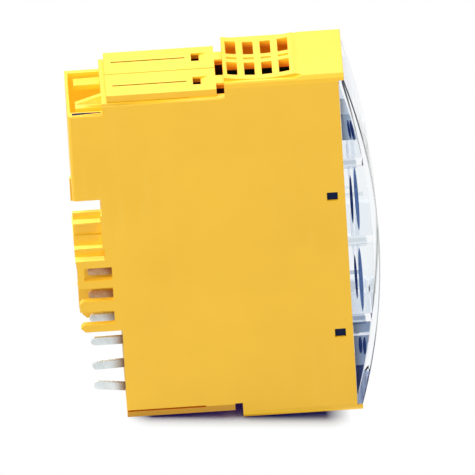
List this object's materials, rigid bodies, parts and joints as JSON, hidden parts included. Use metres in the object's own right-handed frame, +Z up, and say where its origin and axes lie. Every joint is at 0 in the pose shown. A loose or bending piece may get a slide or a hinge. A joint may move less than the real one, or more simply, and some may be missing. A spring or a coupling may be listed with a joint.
{
  "type": "safe output module",
  "caption": "Slim yellow plug-in control module: two moulded half shells with latch tongues, vent grille, rear hook, blade contacts and a clear bowed front cover.",
  "frame": {"origin": "middle of the footprint, on the floor of the front block", "axes": "+X from the bus side at the rear to the clear front, +Y across the width, +Z up"},
  "size_m": [0.0784, 0.025, 0.0993],
  "materials": {
    "housing_yellow": "fine moulded satin",
    "clear_front": "polished clear plastic",
    "clear_guide": "polished clear plastic",
    "contact_silver": "tin plated",
    "contact_gold": "plated",
    "carrier_grey": "matt moulded",
    "board_green": "solder mask",
    "chip_black": "matt moulded",
    "can_metal": "drawn can",
    "coil_amber": "taped winding",
    "lamp_white": "clear resin",
    "panel_navy": "matt moulded",
    "label_white": "blank printed film"
  },
  "bodies": {
    "root": {"near_shell": "housing_yellow", "near_board": "board_green", "near_contact_carrier": "carrier_grey", "near_blade_1": "contact_silver", "near_blade_2": "contact_silver", "near_blade_3": "contact_silver", "near_blade_4": "contact_silver", "near_blade_5": "contact_silver", "near_blade_6": "contact_silver", "near_processor": "chip_black", "near_output_driver_1": "chip_black", "near_output_driver_2": "chip_black", "near_capacitor": "can_metal", "near_transformer": "coil_amber", "far_shell": "housing_yellow", "far_board": "board_green", "far_contact_carrier": "carrier_grey", "far_blade_1": "contact_silver", "far_blade_2": "contact_silver", "far_blade_3": "contact_silver", "far_blade_4": "contact_silver", "far_blade_5": "contact_silver", "far_blade_6": "contact_silver", "far_processor": "chip_black", "far_output_driver_1": "chip_black", "far_output_driver_2": "chip_black", "far_capacitor": "can_metal", "far_transformer": "coil_amber", "bus_connector": "carrier_grey", "bus_contacts": "contact_gold", "board_link_socket": "chip_black", "board_link_plug": "chip_black", "status_leds": "lamp_white", "light_guide": "clear_guide", "front_panel": "panel_navy", "label_sheet": "label_white", "label_clips": "panel_navy", "front_lens": "clear_front"}
  },
  "joints": []
}
